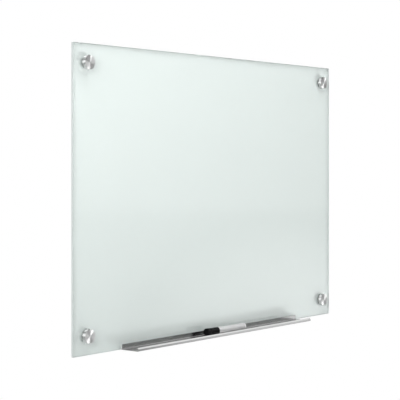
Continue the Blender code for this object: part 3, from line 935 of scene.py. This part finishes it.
def make_drawn_tree():
    """A flat section, drawn along X into a closed bar."""
    group, tree, start, end = geometry_tree("Drawn section", ("Length", "Float", 0.5))
    way = tree.add("ShaderNodeCombineXYZ", X=start["Length"]).outputs[0]
    drawn = tree.add(
        "GeometryNodeExtrudeMesh", {"mode": "FACES"}, Mesh=start["Geometry"], Offset=way, Offset_Scale=1.0,
        Individual=False,
    ).outputs["Mesh"]
    back = tree.add("GeometryNodeFlipFaces", Mesh=start["Geometry"]).outputs[0]
    both = tree.join(drawn, back)
    whole = tree.add("GeometryNodeMergeByDistance", Geometry=both, Distance=MERGE_DISTANCE).outputs[0]
    end_tree(tree, start, end, whole)
    return group


# Operators


class MakeMaterials(bpy.types.Operator):
    """Makes the shared effects and each finish of the whiteboard"""

    bl_idname = "whiteboard.materials"
    bl_label = "Finishes"

    def execute(self, context):
        make_materials()
        return {"FINISHED"}


class MakePane(bpy.types.Operator):
    """Makes the glass pane with polished arrises and drilled corners, and dresses what is behind it"""

    bl_idname = "whiteboard.pane"
    bl_label = "Glass pane and backing"

    def execute(self, context):
        pane = add_piece(
            "pane_of_glass", self.pane_mesh(), "board", "glass", "glass_pane",
            [MATERIALS["glass"], MATERIALS["glass_edge"]],
        )
        for face in pane.data.polygons:
            face.material_index = 0 if abs(face.normal.y) > FLAT_NORMAL else 1
        dress_node("backing_film", "film")
        dress_node("steel_sheet", "steel_sheet")
        return {"FINISHED"}

    def pane_mesh(self):
        thickness = PANE_HIGH.y - PANE_LOW.y
        drills = self.make_drills(thickness)
        mesh = made_plain("pane_of_glass", self.slab_mesh(thickness), modifiers=[
            ("BEVEL", {
                "width": ARRIS, "segments": BEVEL_STEPS, "limit_method": "ANGLE",
                "angle_limit": PANE_BEVEL_ANGLE,
            }),
            ("BOOLEAN", {
                "operation": "DIFFERENCE", "solver": "EXACT", "operand_type": "COLLECTION",
                "collection": drills,
            }),
        ])
        for one in list(drills.objects):
            bpy.data.objects.remove(one)
        bpy.data.collections.remove(drills)
        return finish_mesh(mesh, FLATS_SHARP_ANGLE)

    def slab_mesh(self, thickness):
        """The pane without its arrises and holes."""
        half_w, half_h = (PANE_HIGH.x - PANE_LOW.x) / 2, (PANE_HIGH.z - PANE_LOW.z) / 2
        bm = bmesh.new()
        outline = []
        for quarter, (side, end) in enumerate(((1, 1), (-1, 1), (-1, -1), (1, -1))):
            x, z = side * (half_w - PANE_CORNER_RADIUS), end * (half_h - PANE_CORNER_RADIUS)
            for step in range(PANE_CORNER_STEPS + 1):
                angle = math.pi / 2 * (quarter + step / PANE_CORNER_STEPS)
                outline.append(bm.verts.new((
                    x + PANE_CORNER_RADIUS * math.cos(angle), PANE_HIGH.y,
                    z + PANE_CORNER_RADIUS * math.sin(angle),
                )))
        swept = bmesh.ops.extrude_face_region(bm, geom=[bm.faces.new(outline)])
        moved = [item for item in swept["geom"] if isinstance(item, bmesh.types.BMVert)]
        bmesh.ops.translate(bm, verts=moved, vec=(0, -thickness, 0))
        bmesh.ops.recalc_face_normals(bm, faces=bm.faces)
        return mesh_from(bm, "pane_base")

    def make_drills(self, thickness):
        """A collection of cutters for the four chamfered holes."""
        flare = HOLE_RADIUS + HOLE_CHAMFER
        drill = turned_mesh("pane_drill", [
            (0, -OVERRUN), (flare + OVERRUN, -OVERRUN), (flare, 0), (HOLE_RADIUS, HOLE_CHAMFER),
            (HOLE_RADIUS, thickness - HOLE_CHAMFER), (flare, thickness),
            (flare + OVERRUN, thickness + OVERRUN), (0, thickness + OVERRUN),
        ], SMALL_STEPS)
        drills = bpy.data.collections.new("Pane drills")
        for corner in CORNERS:
            copy = drill.copy()
            copy.transform(outwards(corner, PANE_HIGH.y))
            drills.objects.link(bpy.data.objects.new("drill_" + corner, copy))
        return drills


class MakeStandoffs(bpy.types.Operator):
    """Makes the barrels, gaskets and sleeves that hold the pane off the wall"""

    bl_idname = "whiteboard.standoffs"
    bl_label = "Standoffs"

    def execute(self, context):
        barrel = turned_mesh("barrel", softened([
            (SCREW_HOLE_RADIUS, 0), (BARREL_RADIUS, 0), (BARREL_RADIUS, BARREL_LENGTH),
            (CAP_SOCKET_RADIUS, BARREL_LENGTH), (CAP_SOCKET_RADIUS, BARREL_FLOOR),
            (COUNTERSINK_RADIUS, BARREL_FLOOR),
            (SCREW_HOLE_RADIUS, BARREL_FLOOR - COUNTERSINK_RADIUS + SCREW_HOLE_RADIUS),
        ], (CRISP_EDGE, SOFT_EDGE, ROUND_EDGE, SOFT_EDGE, CRISP_EDGE, 0, 0), closed=True))
        rear = self.ring("rear_gasket_top_left", SLEEVE_RADIUS, EASED_EDGE)
        front = self.ring("front_gasket_top_left", SLEEVE_BORE_RADIUS, SOFT_EDGE)
        sleeve = self.ring("hole_sleeve_top_left", SLEEVE_BORE_RADIUS, CRISP_EDGE)
        for corner in CORNERS:
            for mesh, piece, node, body, slot in (
                (barrel, "barrel_", "standoff_barrel_", "board", "barrel_steel"),
                (rear, "rear_ring_", "rear_gasket_", "board", "rubber"),
                (front, "front_ring_", "front_gasket_", "front_gasket_" + corner, "rubber"),
                (sleeve, "sleeve_", "hole_sleeve_", "board", "nylon"),
            ):
                back_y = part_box(node + corner)[1].y
                add_piece(
                    piece + corner, mesh.copy(), body, slot, node + corner, matrix=outwards(corner, back_y)
                )
        return {"FINISHED"}

    def ring(self, node, bore, edge):
        low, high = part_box(node)
        radius, thickness = half_width(node), high.y - low.y
        outline = [(bore, 0), (radius, 0), (radius, thickness), (bore, thickness)]
        return turned_mesh(node, softened(outline, (edge,) * 4, closed=True), SMALL_STEPS)


class MakeCaps(bpy.types.Operator):
    """Makes the four turned caps and their threaded studs"""

    bl_idname = "whiteboard.caps"
    bl_label = "Caps and studs"

    def execute(self, context):
        cap = turned_mesh("cap", softened([
            (0, CAP_SOCKET_DEPTH), (CAP_SOCKET_RADIUS, CAP_SOCKET_DEPTH), (CAP_SOCKET_RADIUS, 0),
            (CAP_RADIUS, 0), (CAP_RADIUS, CAP_DEPTH), (0, CAP_DEPTH),
        ], (0, FINE_EDGE, EASED_EDGE, FULL_EDGE, ROUND_EDGE, 0), CAP_SOFT_STEPS), CAP_STEPS)
        stud = self.stud_mesh()
        for face in cap.polygons:
            face.material_index = int(math.hypot(face.normal.x, face.normal.y) > SIDE_NORMAL)
        for corner in CORNERS:
            add_piece(
                "turned_cap_" + corner, cap.copy(), "cap_" + corner, "cap_steel", "cap_" + corner,
                [MATERIALS["cap_steel"], MATERIALS["cap_side"]], outwards(corner, CAP_BACK_Y),
            )
            add_piece(
                "threaded_stud_" + corner, stud.copy(), "cap_" + corner, "stud_steel", "cap_stud_" + corner,
                matrix=outwards(corner, STUD_HIGH.y),
            )
        return {"FINISHED"}

    def stud_mesh(self):
        length = STUD_HIGH.y - STUD_LOW.y
        depth, pitch = sizes().thread_depth, sizes().thread_pitch
        core = STUD_RADIUS - depth
        rod = turned_mesh("stud_core", softened(
            [(0, 0), (core, 0), (core, length), (0, length)], (0, FULL_EDGE, FULL_EDGE, 0)
        ), SMALL_STEPS)
        return finish_mesh(made_plain("stud", rod, make_thread_tree(), {
            "Core Radius": core, "Depth": depth, "Pitch": pitch, "Start Height": pitch / 2,
            "Turns": (length - pitch) / pitch, "Steps per Turn": THREAD_STEPS,
            "Material": MATERIALS["stud_steel"],
        }))


class MakeTray(bpy.types.Operator):
    """Makes the drawn tray and dresses the magnet strips behind its flange"""

    bl_idname = "whiteboard.tray"
    bl_label = "Pen tray"

    def execute(self, context):
        mesh = made_plain("tray", self.section_mesh(), make_drawn_tree(), {
            "Length": TRAY_HIGH.x - TRAY_LOW.x, "Material": MATERIALS["tray_aluminium"],
        }, [("BEVEL", {
            "width": TRAY_END_BEVEL, "segments": BEVEL_STEPS, "limit_method": "ANGLE",
            "angle_limit": TRAY_BEVEL_ANGLE,
        })])
        layer = mesh.uv_layers.new(name="Drawn")
        along, across = TRAY_UV_SCALE
        for loop in mesh.loops:
            place = mesh.vertices[loop.vertex_index].co
            layer.data[loop.index].uv = (place.x * along, (place.z * UPRIGHT_UV_SHARE - place.y) * across)
        add_piece("drawn_tray", finish_mesh(mesh, FLATS_SHARP_ANGLE), "tray", "tray_aluminium", "pen_tray")
        for side in ("left", "centre", "right"):
            dress_node("tray_magnet_" + side, "magnet")
        return {"FINISHED"}

    def section_mesh(self):
        """The section, as distances from the glass's face and heights above the tray's underside."""
        depth = PANE_LOW.y - TRAY_LOW.y
        height = TRAY_HIGH.z - TRAY_LOW.z
        wall, flange_back = TRAY_WALL, FLANGE_FACE - TRAY_WALL
        corners, edges = zip(
            ((TOUCH_GAP, 0), CRISP_EDGE), ((depth, 0), TRAY_FOOT_RADIUS),
            ((depth, LIP_KNEE_HEIGHT), LIP_KNEE_RADIUS), ((depth - LIP_LEAN, LIP_HEIGHT), LIP_TOP_RADIUS),
            ((depth - LIP_LEAN - wall, LIP_HEIGHT), LIP_TOP_RADIUS),
            ((depth - wall, LIP_KNEE_HEIGHT), LIP_KNEE_RADIUS), ((depth - wall, wall), TRAY_INNER_RADIUS),
            ((FLANGE_FACE, wall), TRAY_INNER_RADIUS), ((FLANGE_FACE, height), WIDE_EDGE),
            ((flange_back, height), WIDE_EDGE), ((flange_back, LEDGE_THICKNESS), EASED_EDGE),
            ((TOUCH_GAP, LEDGE_THICKNESS), CRISP_EDGE),
        )
        outline = softened(corners, edges, FINE_SOFT_STEPS, closed=True)
        bm = bmesh.new()
        face = bm.faces.new([
            bm.verts.new((TRAY_LOW.x, PANE_LOW.y - y, TRAY_LOW.z + z)) for y, z in outline
        ])
        face.normal_update()
        if face.normal.x < 0:
            face.normal_flip()
        return mesh_from(bm, "tray_section")


class MakeMarker(bpy.types.Operator):
    """Makes the marker's barrel, tail, nose and nib, and its ribbed cap"""

    bl_idname = "whiteboard.marker"
    bl_label = "Marker"

    def execute(self, context):
        stem = MARKER_BORE_RADIUS - TOUCH_GAP
        back, neck = self.ends("marker_barrel")
        self.add_turned("marker_tube", [
            (MARKER_BORE_RADIUS, back), (MARKER_RADIUS, back), (MARKER_RADIUS, -TOUCH_GAP),
            (NECK_RADIUS, -TOUCH_GAP), (NECK_RADIUS, neck), (MARKER_BORE_RADIUS, neck),
        ], (FINE_EDGE, SEAM_EDGE, SOFT_EDGE, 0, CRISP_EDGE, CRISP_EDGE), "marker_barrel", "marker_white")
        low, high = self.ends("marker_tail_plug")
        self.add_turned("marker_tail", [
            (0, low), (MARKER_RADIUS, low), (MARKER_RADIUS, back - TOUCH_GAP), (stem, back - TOUCH_GAP),
            (stem, high), (0, high),
        ], (0, TAIL_RADIUS, SEAM_EDGE, 0, EASED_EDGE, 0), "marker_tail_plug", "marker_white")
        low, high = self.ends("marker_nose")
        bore, collar = NIB_RADIUS + TOUCH_GAP, neck + TOUCH_GAP
        self.add_turned("marker_tip_holder", [
            (bore, low), (stem, low), (stem, collar), (NECK_RADIUS, collar),
            (NECK_RADIUS, collar + NOSE_COLLAR), (NOSE_TIP_RADIUS, high), (bore, high),
        ], (
            CRISP_EDGE, EASED_EDGE, 0, CRISP_EDGE, SOFT_EDGE, EASED_EDGE, CRISP_EDGE,
        ), "marker_nose", "marker_nose")
        low, high = self.ends("marker_nib")
        self.add_turned("marker_point", [
            (0, low), (NIB_RADIUS, low), (NIB_RADIUS, high - NIB_POINT_LENGTH), (NIB_POINT_RADIUS, high),
            (0, high),
        ], (0, CRISP_EDGE, WIDE_EDGE, WIDE_EDGE, 0), "marker_nib", "marker_felt", SMALL_STEPS)
        dress_node("marker_reservoir", "marker_core")
        self.add_cap(self.ends("marker_cap")[1])
        return {"FINISHED"}

    def ends(self, node):
        """A node's right and left ends, as heights along the marker from the cap's mouth."""
        low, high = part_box(node)
        return MARKER_CAP_MOUTH_X - high.x, MARKER_CAP_MOUTH_X - low.x

    def add_turned(self, name, profile, edges, node, slot, steps=TURNED_STEPS):
        mesh = turned_mesh(name, softened(profile, edges, closed=bool(profile[0][0])), steps)
        add_piece(name, mesh, "marker", slot, node, matrix=along_marker())

    def add_cap(self, length):
        knob_start = length - KNOB_LENGTH
        body_end = knob_start - GROOVE_WIDTH
        bore_end, knob_bore_end = body_end - CAP_BORE_END_WALL, length - KNOB_END_WALL
        radius = CAP_BORE_RADIUS + MARKER_CAP_WALL
        rib = sizes().rib_radius
        shell = turned_mesh("marker_cap_shell", softened([
            (0, knob_bore_end), (KNOB_BORE_RADIUS, knob_bore_end), (KNOB_BORE_RADIUS, bore_end),
            (CAP_BORE_RADIUS, bore_end), (CAP_BORE_RADIUS, 0), (radius, 0), (radius, body_end),
            (GROOVE_RADIUS, body_end), (GROOVE_RADIUS, knob_start), (KNOB_RADIUS, knob_start),
            (KNOB_RADIUS, length), (0, length),
        ], (
            0, SOFT_EDGE, EASED_EDGE, EASED_EDGE, CRISP_EDGE, EASED_EDGE, ROUND_EDGE, SOFT_EDGE, SOFT_EDGE,
            WIDE_EDGE, ROUND_EDGE, 0,
        ), FINE_SOFT_STEPS))
        mesh = finish_mesh(made_plain("marker_cap_shell", shell, make_rib_tree(), {
            "Count": sizes().rib_count, "Circle Radius": KNOB_RADIUS - rib * RIB_SUNK_SHARE,
            "Rib Radius": rib, "Length": KNOB_LENGTH - RIB_END_GAP,
            "Middle Height": length - KNOB_LENGTH / 2, "Material": MATERIALS["marker_black"],
        }))
        add_piece(
            "ribbed_marker_cap", mesh, "marker_cap", "marker_black", "marker_cap", matrix=along_marker()
        )


class MakeStage(bpy.types.Operator):
    """Makes the pale floor, the soft studio light and the camera"""

    bl_idname = "whiteboard.stage"
    bl_label = "Stage, lights and camera"

    def execute(self, context):
        self.add_floor()
        self.add_world(context.scene)
        self.add_lights()
        self.add_camera(context.scene)
        context.scene.view_settings.view_transform = "Standard"
        return {"FINISHED"}

    def add_floor(self):
        bm = bmesh.new()
        bmesh.ops.create_circle(bm, cap_ends=True, segments=FLOOR_STEPS, radius=FLOOR_RADIUS)
        mesh = mesh_from(bm, "floor")
        mesh.transform(Matrix.Translation((0, 0, FLOOR_Z)))
        floor = bpy.data.objects.new("floor", mesh)
        bpy.context.scene.collection.objects.link(floor)
        material, tree, shader = new_material("pale floor")
        seen = tree.add("ShaderNodeLightPath").outputs["Is Camera Ray"]
        tree.feed_all(
            shader, Base_Color=rgba((0.2, 0.2, 0.2)), Roughness=0.9, Emission_Color=rgba((1, 1, 1)),
            Emission_Strength=tree.spread(seen, 0.0, 1.0, FLOOR_LIGHT, 1.0),
        )
        mesh.materials.append(material)

    def add_world(self, scene):
        """White behind the board, and for it to reflect a dim room with a pale ground and soft panels."""
        world = bpy.data.worlds.new("studio")
        world.use_nodes = True
        scene.world = world
        tree = Tree(world.node_tree)
        way = tree.add("ShaderNodeTexCoord").outputs["Generated"]
        height = tree.apart(way)["Z"]

        def nearness(direction, *limits):
            """How near the way is to a direction, from none to all of it between two cosines."""
            towards = tree.vector_maths("DOT_PRODUCT", way, Vector(direction).normalized())
            return tree.spread(towards, *limits, 0.0, 1.0, smooth=True)

        light = tree.spread(
            height, GROUND_TOP, GROUND_TOP - GROUND_BLUR, ROOM_LIGHT, GROUND_LIGHT, smooth=True
        )
        for direction, inner, outer, strength in ROOM_PANELS:
            share = nearness(direction, math.cos(math.radians(outer)), math.cos(math.radians(inner)))
            light = tree.maths("MULTIPLY_ADD", share, strength, light)
        above = tree.spread(height, *MIRROR_EDGE, 0.0, 1.0, smooth=True)
        share = tree.times(nearness(MIRROR_WAY, *MIRROR_LIMITS), above)
        light = tree.maths("MULTIPLY_ADD", share, MIRROR_LIGHT, light)
        room, white = (
            tree.add("ShaderNodeBackground", Color=rgba((1, 1, 1)), Strength=strength).outputs[0]
            for strength in (light, 1.0)
        )
        seen = tree.add("ShaderNodeLightPath").outputs["Is Camera Ray"]
        out = next(node for node in tree.nodes if node.type == "OUTPUT_WORLD")
        tree.feed(out.inputs["Surface"], tree.mix_shaders(seen, room, white))

    def add_lights(self):
        for name, place, size, power in SOFT_BOXES:
            light = bpy.data.lights.new(name, "AREA")
            light.shape = "RECTANGLE"
            light.size, light.size_y = size
            light.energy = power
            lamp = self.add_aimed(name, light, place, -Vector(place))
            lamp.visible_camera = False

    def add_camera(self, scene):
        data = bpy.data.cameras.new("camera")
        data.sensor_width = CAMERA_SENSOR
        data.lens = CAMERA_LENS
        data.shift_y = CAMERA_SHIFT
        scene.camera = self.add_aimed("camera", data, CAMERA_PLACE, Vector(CAMERA_WAY))

    def add_aimed(self, name, data, place, way):
        """An object at a place, turned to look along a way."""
        aimed = bpy.data.objects.new(name, data)
        aimed.location = place
        aimed.rotation_mode = "QUATERNION"
        aimed.rotation_quaternion = way.to_track_quat("-Z", "Y")
        bpy.context.scene.collection.objects.link(aimed)
        return aimed


class WhiteboardPanel(bpy.types.Panel):
    """Lists the whiteboard's sizes, colours and pieces"""

    bl_idname = "VIEW3D_PT_whiteboard"
    bl_label = "Whiteboard"
    bl_space_type = "VIEW_3D"
    bl_region_type = "UI"
    bl_category = "Whiteboard"

    def draw(self, context):
        for group in (context.scene.whiteboard_sizes, context.scene.whiteboard_colours):
            for name in group.__annotations__:
                self.layout.prop(group, name)
        for step in STEPS:
            self.layout.operator(step.bl_idname)


STEPS = (MakeMaterials, MakeStage, MakePane, MakeStandoffs, MakeCaps, MakeTray, MakeMarker)
CLASSES = (WhiteboardSizes, WhiteboardColours, *STEPS, WhiteboardPanel)


def register():
    for one in CLASSES:
        bpy.utils.register_class(one)
    bpy.types.Scene.whiteboard_sizes = PointerProperty(type=WhiteboardSizes)
    bpy.types.Scene.whiteboard_colours = PointerProperty(type=WhiteboardColours)


def unregister():
    del bpy.types.Scene.whiteboard_colours
    del bpy.types.Scene.whiteboard_sizes
    for one in reversed(CLASSES):
        bpy.utils.unregister_class(one)


def main():
    register()
    for step in (
        bpy.ops.whiteboard.materials, bpy.ops.whiteboard.stage, bpy.ops.whiteboard.pane,
        bpy.ops.whiteboard.standoffs, bpy.ops.whiteboard.caps, bpy.ops.whiteboard.tray,
        bpy.ops.whiteboard.marker,
    ):
        step()


if __name__ == "__main__":
    main()
